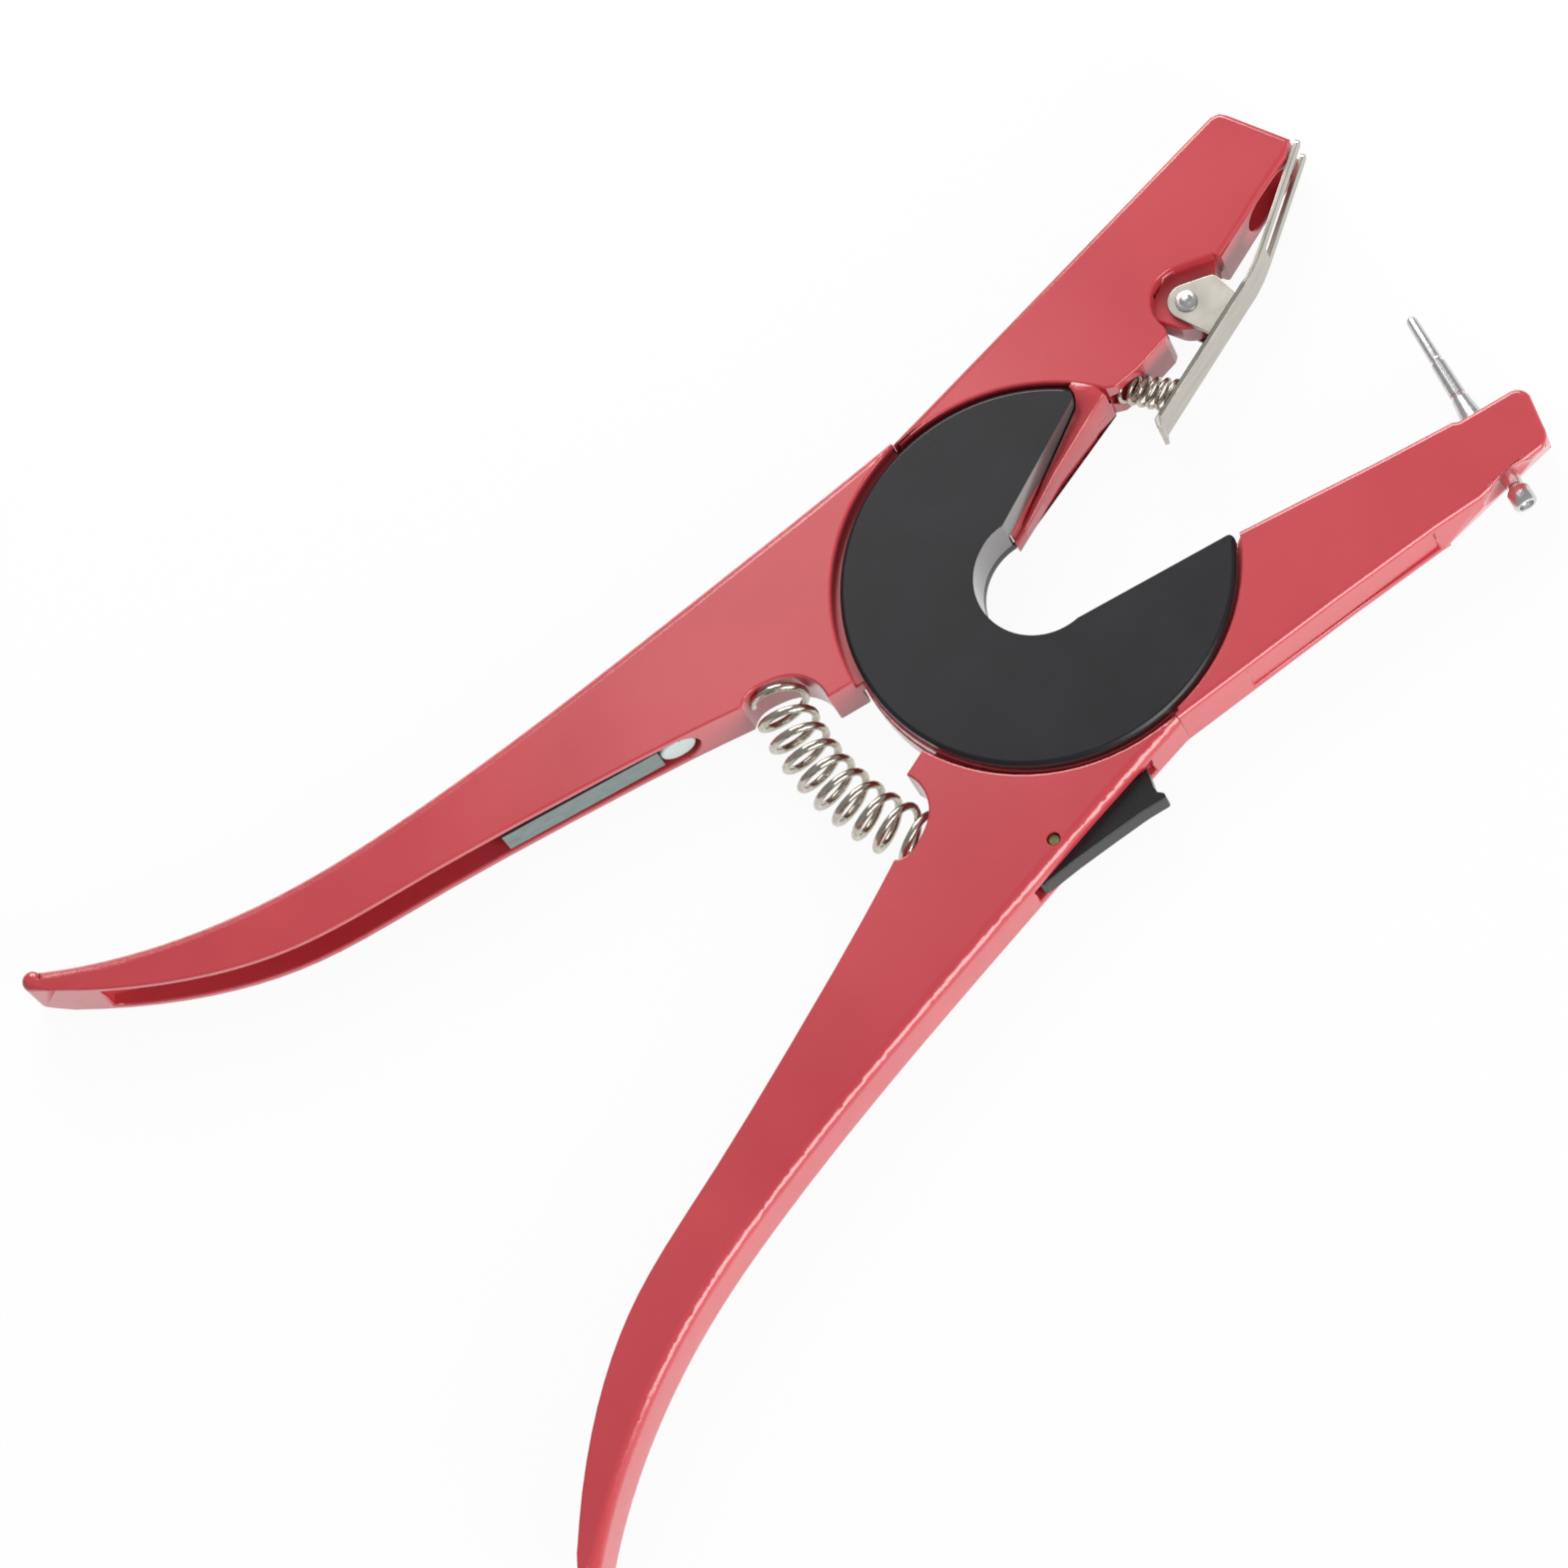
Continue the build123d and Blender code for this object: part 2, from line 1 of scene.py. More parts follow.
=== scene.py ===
# %% [markdown]
# # Ear tag applicator
# A plier-shaped hand tool: two red castings turn on a black bearing disc, one jaw carries a needle and
# the other a sprung clip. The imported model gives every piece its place, in metres, with the jaw pivot
# at the origin. Loading it first means that no later piece has to be fitted by eye.

# %% Load the frame
import math

import bmesh
import bpy
from mathutils import Matrix, Vector


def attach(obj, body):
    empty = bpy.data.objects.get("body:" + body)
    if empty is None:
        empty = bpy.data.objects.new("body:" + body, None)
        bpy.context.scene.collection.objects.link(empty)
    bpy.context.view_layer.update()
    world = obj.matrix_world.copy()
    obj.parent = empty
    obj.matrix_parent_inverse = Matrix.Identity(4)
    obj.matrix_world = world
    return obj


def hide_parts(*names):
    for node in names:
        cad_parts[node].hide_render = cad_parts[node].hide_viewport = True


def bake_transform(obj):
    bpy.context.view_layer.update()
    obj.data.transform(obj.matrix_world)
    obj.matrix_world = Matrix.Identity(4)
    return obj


MM = 0.001
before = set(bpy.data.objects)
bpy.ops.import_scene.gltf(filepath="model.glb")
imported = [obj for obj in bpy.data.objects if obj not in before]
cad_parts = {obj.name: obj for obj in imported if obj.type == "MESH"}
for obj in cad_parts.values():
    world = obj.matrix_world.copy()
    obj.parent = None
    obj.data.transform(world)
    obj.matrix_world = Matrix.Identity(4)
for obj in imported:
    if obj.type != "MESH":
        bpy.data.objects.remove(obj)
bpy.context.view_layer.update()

# %% [markdown]
# ## Camera
# The photograph looks down on the tool from well above, through a long lens, with the tool turned
# across the picture. The camera is aimed at one point of the tool, and then rolled about its own axis.

# %% Camera
TARGET = Vector((-0.055008, 0.004006, 0.011))
DISTANCE = 1.2
AZIMUTH = math.radians(-99.085)
TILT = math.radians(23.882)
ROLL = math.radians(-35.244)
LENS_MM = 164.354

camera_data = bpy.data.cameras.new("camera")
camera_data.type = "PERSP"
camera_data.lens = LENS_MM
camera_data.sensor_width = 36.0
camera_data.clip_start = 0.05
camera_data.clip_end = 20.0
camera = bpy.data.objects.new("camera", camera_data)
bpy.context.scene.collection.objects.link(camera)
bpy.context.scene.camera = camera

toward = Vector((math.sin(TILT) * math.cos(AZIMUTH), math.sin(TILT) * math.sin(AZIMUTH), math.cos(TILT)))
right = (-toward).cross(Vector((0, 0, 1))).normalized()
up = right.cross(-toward)
rolled_right = math.cos(ROLL) * right + math.sin(ROLL) * up
rolled_up = math.cos(ROLL) * up - math.sin(ROLL) * right
pose = Matrix((rolled_right, rolled_up, toward)).transposed().to_4x4()
pose.translation = TARGET + DISTANCE * toward
camera.matrix_world = pose
print("camera at", tuple(round(v, 4) for v in pose.translation))

# %% [markdown]
# ## Colours and nodes
# Blender mixes light in linear numbers, and people pick colours as sRGB hex codes, so one function
# turns the one into the other. A second function adds any node, so that a material reads as a list.

# %% Colours and nodes


def linear(code):
    """An sRGB hex colour as the linear numbers that Blender mixes."""
    parts = [int(code[i:i + 2], 16) / 255 for i in (1, 3, 5)]
    return tuple(p / 12.92 if p <= 0.04045 else ((p + 0.055) / 1.055) ** 2.4 for p in parts) + (1.0,)


def node(tree, kind, links=None, **settings):
    """Adds a node, gives it its settings, and joins its sockets to others."""
    made = tree.nodes.new(kind)
    for key, value in settings.items():
        if key.replace("_", " ") in made.inputs:
            made.inputs[key.replace("_", " ")].default_value = value
        else:
            setattr(made, key, value)
    for socket, source in (links or {}).items():
        tree.links.new(source, made.inputs[socket])
    return made


def finish_material(name):
    """A new material, its node tree and its shader."""
    material = bpy.data.materials.new(name)
    material.use_nodes = True
    tree = material.node_tree
    return material, tree, tree.nodes["Principled BSDF"]


# %% [markdown]
# ## Red lacquer
# The two arms are aluminium die castings with a baked red lacquer. Lacquer is a smooth skin that
# pulls a little unevenly as it dries, which is called orange peel, so the eye sees one deep red with a
# soft, slightly broken shine, a little thinner and paler in places.

# %% Red lacquer
red_lacquer, tree, shader = finish_material("red_baked_lacquer")
place = node(tree, "ShaderNodeTexCoord").outputs["Object"]
thickness = node(tree, "ShaderNodeTexNoise", {"Vector": place}, Scale=1 / (30 * MM), Detail=3.0)
tone = node(tree, "ShaderNodeValToRGB", {"Fac": thickness.outputs["Fac"]})
tone.color_ramp.elements[0].position = 0.3
tone.color_ramp.elements[0].color = linear("#C03A43")
tone.color_ramp.elements[1].position = 0.7
tone.color_ramp.elements[1].color = linear("#CA454D")
tree.links.new(tone.outputs["Color"], shader.inputs["Base Color"])
wear = node(tree, "ShaderNodeTexNoise", {"Vector": place}, Scale=1 / (4 * MM), Detail=4.0)
gloss = node(tree, "ShaderNodeMapRange", {"Value": wear.outputs["Fac"]})
gloss.inputs["To Min"].default_value = 0.3
gloss.inputs["To Max"].default_value = 0.4
tree.links.new(gloss.outputs["Result"], shader.inputs["Roughness"])
# Real orange peel is about 0.8 mm from hill to hill
peel = node(tree, "ShaderNodeTexNoise", {"Vector": place}, Scale=1 / (0.8 * MM), Detail=1.0)
bump = node(tree, "ShaderNodeBump", {"Height": peel.outputs["Fac"]}, Strength=0.12, Distance=0.02 * MM)
tree.links.new(bump.outputs["Normal"], shader.inputs["Normal"])
shader.inputs["IOR"].default_value = 1.5
# The clear top coat is what mirrors the white table on every upright side
shader.inputs["Coat Weight"].default_value = 1.0
shader.inputs["Coat Roughness"].default_value = 0.2
shader.inputs["Coat IOR"].default_value = 1.62
shader.inputs["Specular IOR Level"].default_value = 0.1
tree.links.new(bump.outputs["Normal"], shader.inputs["Coat Normal"])
print(red_lacquer.name, len(tree.nodes), "nodes")

# %% [markdown]
# ## Black moulded plastic
# The bearing disc and the latch are glass-filled nylon from a spark-eroded mould. The mould leaves
# a fine, even grain on the broad faces, and its upright walls are polished so that the part slides
# out. The same black looks dull from above and bright from the side, so it is made twice: the copy for
# the upright walls gets a grey colour, which is painted light standing in for their bright reflection.

# %% Black moulded plastic


def moulded_black(name, dark, light, rough_from, rough_to, grain_height_mm, coat):
    """Black nylon: two close tones, a fine grain of a given height, and a skin of a given gloss."""
    material, tree, shader = finish_material(name)
    place = node(tree, "ShaderNodeTexCoord").outputs["Object"]
    flow = node(tree, "ShaderNodeTexNoise", {"Vector": place}, Scale=1 / (12 * MM), Detail=3.0)
    tone = node(tree, "ShaderNodeValToRGB", {"Fac": flow.outputs["Fac"]})
    tone.color_ramp.elements[0].position = 0.3
    tone.color_ramp.elements[0].color = linear(dark)
    tone.color_ramp.elements[1].position = 0.7
    tone.color_ramp.elements[1].color = linear(light)
    tree.links.new(tone.outputs["Color"], shader.inputs["Base Color"])
    # The grain is about 0.15 mm on the real part, drawn at 0.4 mm so that it shows
    grain = node(tree, "ShaderNodeTexNoise", {"Vector": place}, Scale=1 / (0.4 * MM), Detail=2.0)
    bump = node(tree, "ShaderNodeBump", {"Height": grain.outputs["Fac"]}, Strength=0.35,
                Distance=grain_height_mm * MM)
    tree.links.new(bump.outputs["Normal"], shader.inputs["Normal"])
    matt = node(tree, "ShaderNodeMapRange", {"Value": flow.outputs["Fac"]})
    matt.inputs["To Min"].default_value = rough_from
    matt.inputs["To Max"].default_value = rough_to
    tree.links.new(matt.outputs["Result"], shader.inputs["Roughness"])
    shader.inputs["IOR"].default_value = 1.53
    shader.inputs["Specular IOR Level"].default_value = 0.35
    shader.inputs["Coat Weight"].default_value = coat
    shader.inputs["Coat Roughness"].default_value = 0.15
    shader.inputs["Coat IOR"].default_value = 1.7
    return material


black_nylon = moulded_black("black_moulded_nylon", "#18181B", "#1E1E22", 0.3, 0.38, 0.03, 0.0)
# The grey tones of this wall copy are painted light: the walls are black and only look grey where they catch
# the light
painted_light_black_wall = moulded_black("black_wall_painted_light", "#5A5757", "#676463", 0.25, 0.34, 0.01, 0.8)
print("black plastics:", black_nylon.name, painted_light_black_wall.name)

# %% [markdown]
# ## Bare metals
# Five metals are told apart by their colour and by how their surface was made: rolled strip, drawn
# wire, turned bar, ground grey steel and dull brass. Each gets a streak pattern that runs the way the
# rolls, the die or the lathe tool went, and only those numbers differ, so they share one recipe.

# %% Bare metals


def bare_metal(name, light, dark, roughness, streak_mm, height_mm):
    """A worked metal: two tones, and fine streaks whose size is given along X, Y and Z."""
    material, tree, shader = finish_material(name)
    place = node(tree, "ShaderNodeTexCoord").outputs["Object"]
    stretch = node(tree, "ShaderNodeMapping", {"Vector": place})
    stretch.inputs["Scale"].default_value = [1 / (s * MM) for s in streak_mm]
    streak = node(tree, "ShaderNodeTexNoise", {"Vector": stretch.outputs["Vector"]}, Scale=1.0, Detail=3.0)
    tone = node(tree, "ShaderNodeValToRGB", {"Fac": streak.outputs["Fac"]})
    tone.color_ramp.elements[0].position = 0.3
    tone.color_ramp.elements[0].color = linear(dark)
    tone.color_ramp.elements[1].position = 0.7
    tone.color_ramp.elements[1].color = linear(light)
    tree.links.new(tone.outputs["Color"], shader.inputs["Base Color"])
    rub = node(tree, "ShaderNodeMapRange", {"Value": streak.outputs["Fac"]})
    rub.inputs["To Min"].default_value = roughness * 0.8
    rub.inputs["To Max"].default_value = roughness * 1.2
    tree.links.new(rub.outputs["Result"], shader.inputs["Roughness"])
    bump = node(tree, "ShaderNodeBump", {"Height": streak.outputs["Fac"]}, Strength=0.4,
                Distance=height_mm * MM)
    tree.links.new(bump.outputs["Normal"], shader.inputs["Normal"])
    shader.inputs["Metallic"].default_value = 1.0
    return material


# Nickel-plated strip keeps the long marks of the rolls under a warm, even shine
nickel_strip = bare_metal("nickel_plated_strip", "#C9C5BB", "#B4B0A6", 0.3, (6.0, 6.0, 0.4), 0.01)
# Drawn wire is the brightest piece of the tool, with hardly a mark on it
nickel_wire = bare_metal("nickel_plated_wire", "#D0CBBF", "#ADA898", 0.16, (1.5, 0.5, 1.5), 0.004)
# A turned needle has faint rings, so it shines in one long band
turned_steel = bare_metal("turned_steel", "#E2E2E2", "#D2D2D2", 0.28, (2.0, 0.3, 2.0), 0.002)
# The stored needle is unplated, and lies grey in its channel
grey_steel = bare_metal("grey_ground_steel", "#93A19F", "#7C8A88", 0.42, (4.0, 1.0, 0.5), 0.01)
# The latch turns on a dull brass pin with an olive tarnish
dull_brass = bare_metal("tarnished_brass", "#8D8560", "#6C6847", 0.45, (0.8, 0.8, 0.8), 0.02)
print("metals:", [m.name for m in (nickel_strip, nickel_wire, turned_steel, grey_steel, dull_brass)])

# %% [markdown]
# ## Pale plastic
# The stored needle's head is a milky, faintly green polypropylene. It lets a little light in, so its
# shadows stay pale, and its skin is smooth but not polished.

# %% Pale plastic
pale_plastic, tree, shader = finish_material("milky_polypropylene")
place = node(tree, "ShaderNodeTexCoord").outputs["Object"]
cloud = node(tree, "ShaderNodeTexNoise", {"Vector": place}, Scale=1 / (2.5 * MM), Detail=2.0)
tone = node(tree, "ShaderNodeValToRGB", {"Fac": cloud.outputs["Fac"]})
tone.color_ramp.elements[0].color = linear("#C4DAD6")
tone.color_ramp.elements[1].color = linear("#DDEBE8")
tree.links.new(tone.outputs["Color"], shader.inputs["Base Color"])
milky = node(tree, "ShaderNodeMapRange", {"Value": cloud.outputs["Fac"]})
milky.inputs["To Min"].default_value = 0.3
milky.inputs["To Max"].default_value = 0.42
tree.links.new(milky.outputs["Result"], shader.inputs["Roughness"])
shader.inputs["IOR"].default_value = 1.49
print(pale_plastic.name, len(tree.nodes), "nodes")

# %% [markdown]
# ## From points to pieces
# Every new shape ends the same way: its points become a mesh, the mesh gets smooth shading that breaks
# at true corners, and the object gets its finish. The height of the middle plane and the line of the
# clip's plate are measured once here, because the springs, the needle and the clip all lie on them.

# %% From points to pieces
MIDPLANE = 5.5
THICKNESS = 11.0
# A point on the clip's plate at its tail, and the direction of the plate
CLIP_TAIL = Vector((33.9, 5.8))
CLIP_WAY = Vector((math.cos(math.radians(14.9)), math.sin(math.radians(14.9))))


def as_piece(name, bm, finish, corner_deg):
    """An object from a bmesh, shaded smoothly up to an angle and given its finish."""
    mesh = bpy.data.meshes.new(name)
    bm.to_mesh(mesh)
    bm.free()
    for face in mesh.polygons:
        face.use_smooth = True
        face.material_index = 0
    mesh.set_sharp_from_angle(angle=math.radians(corner_deg))
    mesh.materials.append(finish)
    obj = bpy.data.objects.new(name, mesh)
    bpy.context.scene.collection.objects.link(obj)
    return obj


def join_rings(bm, rings):
    """Walls between neighbouring rings of points, and a cap on both ends."""
    for ring, following in zip(rings, rings[1:]):
        for k in range(len(ring)):
            nxt = (k + 1) % len(ring)
            bm.faces.new((ring[k], ring[nxt], following[nxt], following[k]))
    bm.faces.new(rings[0][::-1])
    bm.faces.new(rings[-1])
    bmesh.ops.recalc_face_normals(bm, faces=bm.faces)


# %% [markdown]
# ## Soft edges on the castings and mouldings
# No cast or moulded edge is sharp: the lacquer rounds it, and the light draws a thin line there. The
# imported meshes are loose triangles, so each is copied, its points are joined, its flat areas become
# single faces, and a Bevel modifier rounds what is left. The CAD node itself isn't touched.

# %% Soft edges on the castings and mouldings
# The end faces of the two handles meet in a seam on either side of the hub
SEAM_ANGLE = 92.0
SEAM_TURN = 0.35
HUB_RIM = 34.5
# Everything beyond this corner of the plan belongs to a handle's tip
TIP_X = -167.7
TIP_Y = 73.0
TIP_ROUND = 1.3
TOUCHING = 0.01
ON_LINE = 0.03
JOIN_WITHIN = 0.005
FLAT_DEG = 0.4
CORNER_DEG = 28
SHORTEST_EDGE = 0.3
SQUARE_RADIANS = 1.2
# The fold of the clip's ears is its only long edge, and all others get a fifth of its width
FOLD_LENGTH = 15.0
OFF_FOLD = 0.2


def close_seam(bm, sign):
    """Brings a handle's end face up to 0.1 mm from the other casting, on one side of the hub."""
    a = math.radians(sign * SEAM_ANGLE)
    across = Vector((-math.sin(a), math.cos(a), 0))
    turn = Matrix.Rotation(math.radians(-SEAM_TURN * sign), 3, "Z")
    for vert in bm.verts:
        if sign * vert.co.y > HUB_RIM * MM and abs(vert.co.dot(across)) < ON_LINE * MM:
            vert.co = turn @ vert.co


def on_tip_rim(edge, sign):
    """Whether an edge is a sharp, level edge at the front or the back of a handle's tip."""
    first, second = (v.co for v in edge.verts)
    beyond = all(co.x < TIP_X * MM and sign * co.y > TIP_Y * MM for co in (first, second))
    level = abs(first.z - second.z) < TOUCHING * MM
    outer = min(abs(first.z), abs(first.z - THICKNESS * MM)) < TOUCHING * MM
    square = len(edge.link_faces) == 2 and edge.calc_face_angle(0) > SQUARE_RADIANS
    return beyond and level and outer and square


def round_tip(bm, sign):
    """Rounds the rim of a handle's tip as deeply as the long outer edge that leads to it."""
    rim = [e for e in bm.edges if on_tip_rim(e, sign)]
    if rim:
        bmesh.ops.bevel(bm, geom=rim, offset=TIP_ROUND * MM, offset_type="OFFSET", segments=4, profile=0.5,
                        affect="EDGES", clamp_overlap=False, material=-1)
        print("tip edges rounded", len(rim))


def everywhere(edge):
    """The same width of rounding on every edge."""
    return 1.0


def clip_bend(edge):
    """Full width on the long outer edges, where the ears are folded up, and a little elsewhere."""
    on_fold = all(abs((v.co.xy - CLIP_TAIL * MM).cross(CLIP_WAY)) < ON_LINE * MM for v in edge.verts)
    level = abs(edge.verts[0].co.z - edge.verts[1].co.z) < TOUCHING * MM
    return 1.0 if on_fold and level and edge.calc_length() > FOLD_LENGTH * MM else OFF_FOLD


def softened(cad_node, name, body, finish, width_mm, segments=2, painted_light_wall_finish=None, weigh=everywhere):
    """A copy of a CAD node with joined points and rounded outer edges, in its place."""
    bm = bmesh.new()
    bm.from_mesh(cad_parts[cad_node].data)
    bmesh.ops.remove_doubles(bm, verts=bm.verts, dist=JOIN_WITHIN * MM)
    bmesh.ops.dissolve_degenerate(bm, edges=bm.edges, dist=JOIN_WITHIN * MM)
    bmesh.ops.dissolve_limit(bm, angle_limit=math.radians(FLAT_DEG), verts=bm.verts, edges=bm.edges)
    for sign in (1, -1):
        close_seam(bm, sign)
        round_tip(bm, sign)
    # Only long outer edges are rounded, since a very short one has no room for it
    weight = bm.edges.layers.float.new("bevel_weight_edge")
    chosen = [e for e in bm.edges if len(e.link_faces) == 2 and e.is_convex
              and e.calc_face_angle(0) > math.radians(CORNER_DEG) and e.calc_length() > SHORTEST_EDGE * MM]
    for edge in chosen:
        edge[weight] = weigh(edge)
    obj = as_piece(name, bm, finish, CORNER_DEG)
    if painted_light_wall_finish:
        # Upright faces get the second finish; for the disc this is the grey copy, painted light that stands
        # for the bright reflection on its black walls
        obj.data.materials.append(painted_light_wall_finish)
        for face in obj.data.polygons:
            face.material_index = 1 if abs(face.normal.z) < 0.3 else 0
    bevel = obj.modifiers.new("soft_edge", "BEVEL")
    bevel.limit_method = "WEIGHT"
    bevel.width = width_mm * MM
    bevel.segments = segments
    bevel.use_clamp_overlap = False
    # Broad flat faces set the shading at their rims, so that no gradient creeps over them
    even = obj.modifiers.new("flat_faces_lead", "WEIGHTED_NORMAL")
    even.mode = "FACE_AREA"
    even.keep_sharp = True
    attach(obj, body)
    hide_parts(cad_node)
    print(name, len(chosen), "edges rounded")


softened("pin_arm", "needle_side_casting", "needle_arm", red_lacquer, 0.35, segments=3)
softened("clip_arm", "clip_side_casting", "clip_side_arm", red_lacquer, 0.35, segments=3)
softened("front_disc", "front_bearing_disc", "needle_arm", black_nylon, 0.15, painted_light_wall_finish=painted_light_black_wall)
softened("rear_disc", "rear_bearing_disc", "needle_arm", black_nylon, 0.15)
softened("tag_clip", "tag_clip_strip", "clip", nickel_strip, 0.75, segments=4, weigh=clip_bend)
softened("latch_lever", "latch_blade", "latch", black_nylon, 0.3)

# %% [markdown]
# ## The lip beside the V opening
# The clip-side casting carries a lip along the upper wall of the V. It starts low at the throat, rises
# towards the jaw and wraps round the disc's rounded horn, where the jaws stop when they open. It is
# built from cross-sections: each has an inner point by the disc and an outer one at the opening.

# %% The lip beside the V opening
V_SLOPE = math.radians(18.6)
V_WALL_FROM = Vector((-0.794, 9.868))
V_GAP = 0.35
HORN = Vector((24.56, 20.51))
HORN_GAP_R = 2.35
LIP_LOW = 0.05
HORN_LOW = 3.3
# Each point along the straight part: x, and the height of the outer side there
STRAIGHT = ((2.2, 9.72), (5.0, 10.53), (10.0, 11.9), (15.5, 13.35), (21.0, 14.36), (25.2, 15.13))
# Each ray round the horn: its angle, how far out the lip reaches, and its top
ROUND_HORN = ((-71.4, 5.45, 8.9), (-60, 5.85, 9.3), (-50, 6.45, 9.8), (-40, 7.5, 10.4),
              (-25, 6.4, 10.9), (0, 4.2, 10.95), (12, 3.7, 10.95))


def v_wall_y(x):
    """Height of the disc's upper V wall at x, less the working gap, in millimetres."""
    return V_WALL_FROM.y + (x - V_WALL_FROM.x) * math.tan(V_SLOPE) - V_GAP / math.cos(V_SLOPE)


def lip_profile(inner, outer, top, low):
    """One cross-section: upright inside, a small round at the top, and a soft shoulder outside."""
    way = (outer - inner).normalized()
    return [(*inner, low), (*inner, top - 0.15), (*(inner + 0.15 * way), top),
            (*(outer - 0.4 * way), top - 0.05), (*(outer - 0.1 * way), top - 0.25),
            (*outer, top - 0.6), (*outer, low)]


profiles = []
for x, outer_y in STRAIGHT:
    # The lip's top is level by the throat and then climbs by about a quarter of the way along
    top = max(3.3, 2.0 + 0.26 * x)
    profiles.append(lip_profile(Vector((x, v_wall_y(x))), Vector((x, outer_y)), top, LIP_LOW))
for angle, reach, top in ROUND_HORN:
    ray = Vector((math.cos(math.radians(angle)), math.sin(math.radians(angle))))
    profiles.append(lip_profile(HORN + HORN_GAP_R * ray, HORN + reach * ray, top, HORN_LOW))

bm = bmesh.new()
join_rings(bm, [[bm.verts.new(Vector(p) * MM) for p in profile] for profile in profiles])
lip = as_piece("v_opening_lip", bm, red_lacquer, 50)
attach(lip, "clip_side_arm")
print("v_opening_lip from", len(profiles), "cross-sections")

# %% [markdown]
# ## Springs
# A coil spring is one round wire whose middle line is a helix. The return spring's helix runs on a
# circle round the jaw pivot, and its first and last turns lean on the pocket walls, so the pitch starts
# small there. The clip spring widens a little towards the clip.

# %% Springs
# Steps in one turn of a coil
STEPS = 22
WIRE_SIDES = 10


def wire(name, points, radius_mm):
    """A round wire along a line of points in millimetres, with no twist and closed ends."""
    line = [Vector(p) for p in points]
    last = len(line) - 1
    tangents = [(line[min(k + 1, last)] - line[max(k - 1, 0)]).normalized() for k in range(last + 1)]
    normal = tangents[0].orthogonal().normalized()
    bm = bmesh.new()
    rings = []
    for spot, tangent in zip(line, tangents):
        normal = (normal - normal.dot(tangent) * tangent).normalized()
        other = tangent.cross(normal)
        ring = []
        for k in range(WIRE_SIDES):
            a = 2 * math.pi * k / WIRE_SIDES
            ring.append(bm.verts.new((spot + radius_mm * (math.cos(a) * normal + math.sin(a) * other)) * MM))
        rings.append(ring)
    join_rings(bm, rings)
    return as_piece(name, bm, nickel_wire, 50)


RETURN_CIRCLE_R = 48.65
RETURN_COIL_R = 4.6
RETURN_WIRE_R = 0.7
# The angles round the pivot, in degrees, where the coil leaves one arm and meets the other
RETURN_FROM = 157.1
RETURN_TO = 202.2
RETURN_TURNS = 9.5
PITCH = (RETURN_TO - RETURN_FROM) / RETURN_TURNS


def pitch_angle(done):
    """Angle round the pivot after some turns: slow in the first and the last turn, even between."""
    if done < 1:
        return RETURN_FROM + PITCH * done ** 1.6
    if done > RETURN_TURNS - 1:
        return RETURN_TO - PITCH * (RETURN_TURNS - done) ** 1.6
    return RETURN_FROM + PITCH * done


points = []
for k in range(int(RETURN_TURNS * STEPS) + 1):
    done = k / STEPS
    turn = 2 * math.pi * done
    around = math.radians(pitch_angle(done))
    reach = RETURN_CIRCLE_R + RETURN_COIL_R * math.cos(turn)
    height = MIDPLANE + RETURN_COIL_R * math.sin(turn)
    points.append((reach * math.cos(around), reach * math.sin(around), height))
return_coil = wire("return_coil", points, RETURN_WIRE_R)
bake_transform(return_coil)
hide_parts("return_spring")

CLIP_ROOT = Vector((33.9, 16.3))
CLIP_FOOT = Vector((39.0, 8.45))
CLIP_TURNS = 5.5
CLIP_COIL_R = 2.35
CLIP_WIDENS = 0.5
CLIP_WIRE_R = 0.4
points = []
for k in range(int(CLIP_TURNS * STEPS) + 1):
    share = k / (CLIP_TURNS * STEPS)
    turn = 2 * math.pi * k / STEPS
    wide = CLIP_COIL_R + CLIP_WIDENS * share
    spot = CLIP_ROOT.lerp(CLIP_FOOT, share) + wide * math.cos(turn) * CLIP_WAY
    points.append((*spot, MIDPLANE + wide * math.sin(turn)))
clip_coil = wire("clip_coil", points, CLIP_WIRE_R)
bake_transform(clip_coil)
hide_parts("clip_spring")
print("coils:", len(return_coil.data.polygons), "and", len(clip_coil.data.polygons), "faces")

# %% [markdown]
# ## Turned pieces
# The rivet, the needle and its nut are each one profile turned about an axis. A profile is a list of
# (distance along the axis, radius) in millimetres. The rivet's head was pressed by a hollow punch, so a
# flat ring lies round a low dome. The needle steps down from a thick foot to its point at two grooves,
# and the nut is a round knob with a hollow end.

# %% Turned pieces
TURNED_STEPS = 32


def turned(name, body, start, way, profile):
    """A closed solid of revolution round the line from a start point, in its place."""
    start, way = Vector(start), Vector(way).normalized()
    out = way.orthogonal().normalized()
    bm = bmesh.new()
    line = [bm.verts.new((start + d * way + r * out) * MM) for d, r in profile]
    edges = [bm.edges.new(pair) for pair in zip(line, line[1:])]
    bmesh.ops.spin(bm, geom=line + edges, cent=start * MM, axis=way, steps=TURNED_STEPS,
                   angle=2 * math.pi, use_merge=True)
    bmesh.ops.remove_doubles(bm, verts=bm.verts, dist=0.001 * MM)
    bmesh.ops.recalc_face_normals(bm, faces=bm.faces)
    obj = as_piece(name, bm, turned_steel, 38)
    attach(obj, body)
    return obj


head = [(4.95, 0.0), (4.9, 0.45), (4.75, 0.85), (4.52, 1.1), (4.46, 1.25), (4.45, 1.65), (4.28, 1.9),
        (4.05, 1.95), (4.0, 1.3)]
rivet = turned("pressed_rivet", "clip_side_arm", (51.5, 18.1, MIDPLANE), (0, 0, 1),
               head + [(-d, r) for d, r in reversed(head)])
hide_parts("clip_rivet")

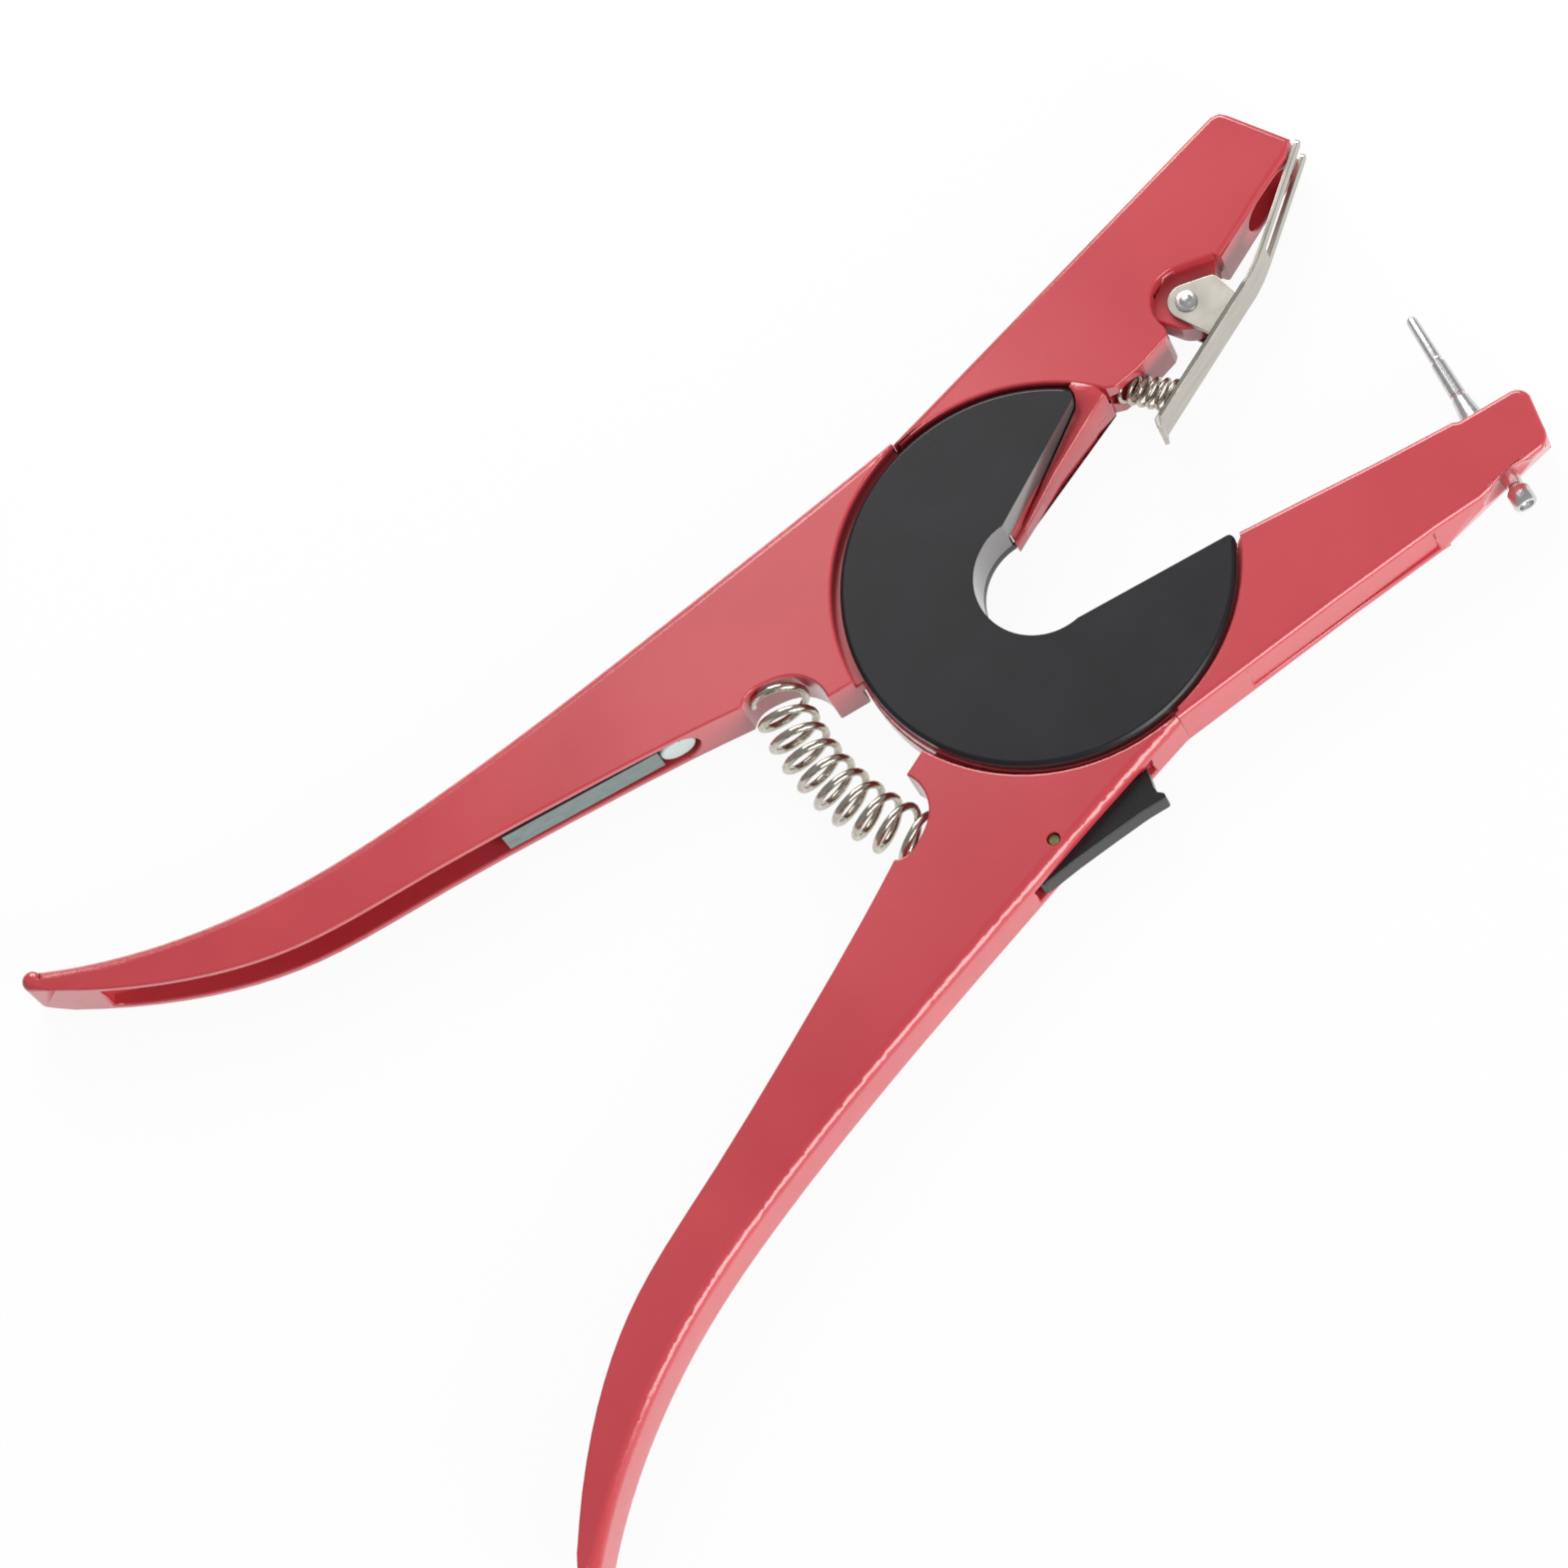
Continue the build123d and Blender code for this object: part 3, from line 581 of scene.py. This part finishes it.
SEAT = (70.05, -33.15, MIDPLANE)
NEEDLE_WAY = (math.cos(math.radians(75.5)), math.sin(math.radians(75.5)), 0)
shaft = [(-16.0, 0.0), (-16.0, 1.2), (-13.35, 1.2), (-13.1, 1.55), (-10.5, 1.7), (-10.3, 1.3), (0.0, 1.3),
         (0.0, 2.2), (1.2, 2.1), (4.0, 1.68), (5.5, 1.55), (5.65, 1.25), (6.3, 1.25), (6.45, 1.45),
         (13.1, 1.3), (13.25, 0.98), (13.9, 0.98), (14.05, 1.12), (22.2, 0.98), (22.75, 0.8), (23.0, 0.45),
         (23.0, 0.0)]
needle = turned("grooved_needle", "needle_arm", SEAT, NEEDLE_WAY, shaft)
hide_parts("needle")
knob = [(-13.9, 0.0), (-13.9, 1.75), (-14.3, 2.05), (-16.8, 2.1), (-17.25, 1.9), (-17.4, 1.6), (-17.3, 1.35),
        (-16.5, 1.15), (-16.3, 0.0)]
nut = turned("needle_nut_knob", "needle_arm", SEAT, NEEDLE_WAY, knob)
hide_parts("needle_nut")
print("turned pieces:", [(o.name, len(o.data.polygons)) for o in (rivet, needle, nut)])

# %% [markdown]
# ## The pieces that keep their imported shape
# Screws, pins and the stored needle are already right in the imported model, so they only get their
# finish. Their own mesh stays as it is.

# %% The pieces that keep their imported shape
KEPT = {"disc_screws": turned_steel, "latch_pin": dull_brass, "spare_needle": grey_steel,
        "spare_head": pale_plastic}
for name, finish in KEPT.items():
    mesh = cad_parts[name].data
    mesh.materials.clear()
    mesh.materials.append(finish)
    print(name, "gets", finish.name)

# %% [markdown]
# ## Floor and light
# The tool lies on a white sheet that shows no edge. The floor's colour makes the white, so the lamps
# can stay at a plain level and the red doesn't wash out.

# %% Floor and light
scene = bpy.context.scene
scene.view_settings.view_transform = "Standard"

world = bpy.data.worlds.new("studio")
scene.world = world
world.use_nodes = True
world.node_tree.nodes["Background"].inputs["Color"].default_value = linear("#FFFFFF")
world.node_tree.nodes["Background"].inputs["Strength"].default_value = 0.36


def lamp(name, place, aim, size, power):
    """A square soft box that shines at a point."""
    light = bpy.data.lights.new(name, "AREA")
    light.shape = "SQUARE"
    light.size = size
    light.energy = power
    obj = bpy.data.objects.new(name, light)
    bpy.context.scene.collection.objects.link(obj)
    obj.location = place
    obj.rotation_euler = (Vector(aim) - Vector(place)).to_track_quat("-Z", "Y").to_euler()
    return obj


lamp("front_box", (0.15, -1.2, 0.35), (-0.03, 0.0, 0.0), 0.8, 14.5)
lamp("back_box", (0.35, 0.7, 0.5), (-0.03, 0.0, 0.0), 0.6, 7.6)
lamp("sheen_box", (0.015, 0.25, 0.455), (-0.015, 0.05, 0.0), 0.14, 0.09)

bpy.ops.mesh.primitive_plane_add(size=6.0, location=(0, 0, -0.0005))
floor = bpy.context.object
floor.name = "floor"
paper, tree, shader = finish_material("white_paper")
shader.inputs["Base Color"].default_value = linear("#F4F4F4")
shader.inputs["Roughness"].default_value = 0.9
ray = node(tree, "ShaderNodeLightPath")
glossy = node(tree, "ShaderNodeMath", {0: ray.outputs["Is Camera Ray"], 1: ray.outputs["Is Glossy Ray"]},
              operation="MAXIMUM")
seen = node(tree, "ShaderNodeMath", {0: glossy.outputs[0], 1: ray.outputs["Is Transmission Ray"]},
            operation="MAXIMUM")
# A little of the real floor shows through the white, and with it the tool's own soft shadow
amount = node(tree, "ShaderNodeMath", {0: seen.outputs[0]}, operation="MULTIPLY")
amount.inputs[1].default_value = 0.94
white = node(tree, "ShaderNodeEmission", Color=linear("#FFFFFF"), Strength=1.0)
mixed = node(tree, "ShaderNodeMixShader",
             {0: amount.outputs[0], 1: shader.outputs[0], 2: white.outputs[0]})
tree.links.new(mixed.outputs[0], tree.nodes["Material Output"].inputs["Surface"])
floor.data.materials.append(paper)
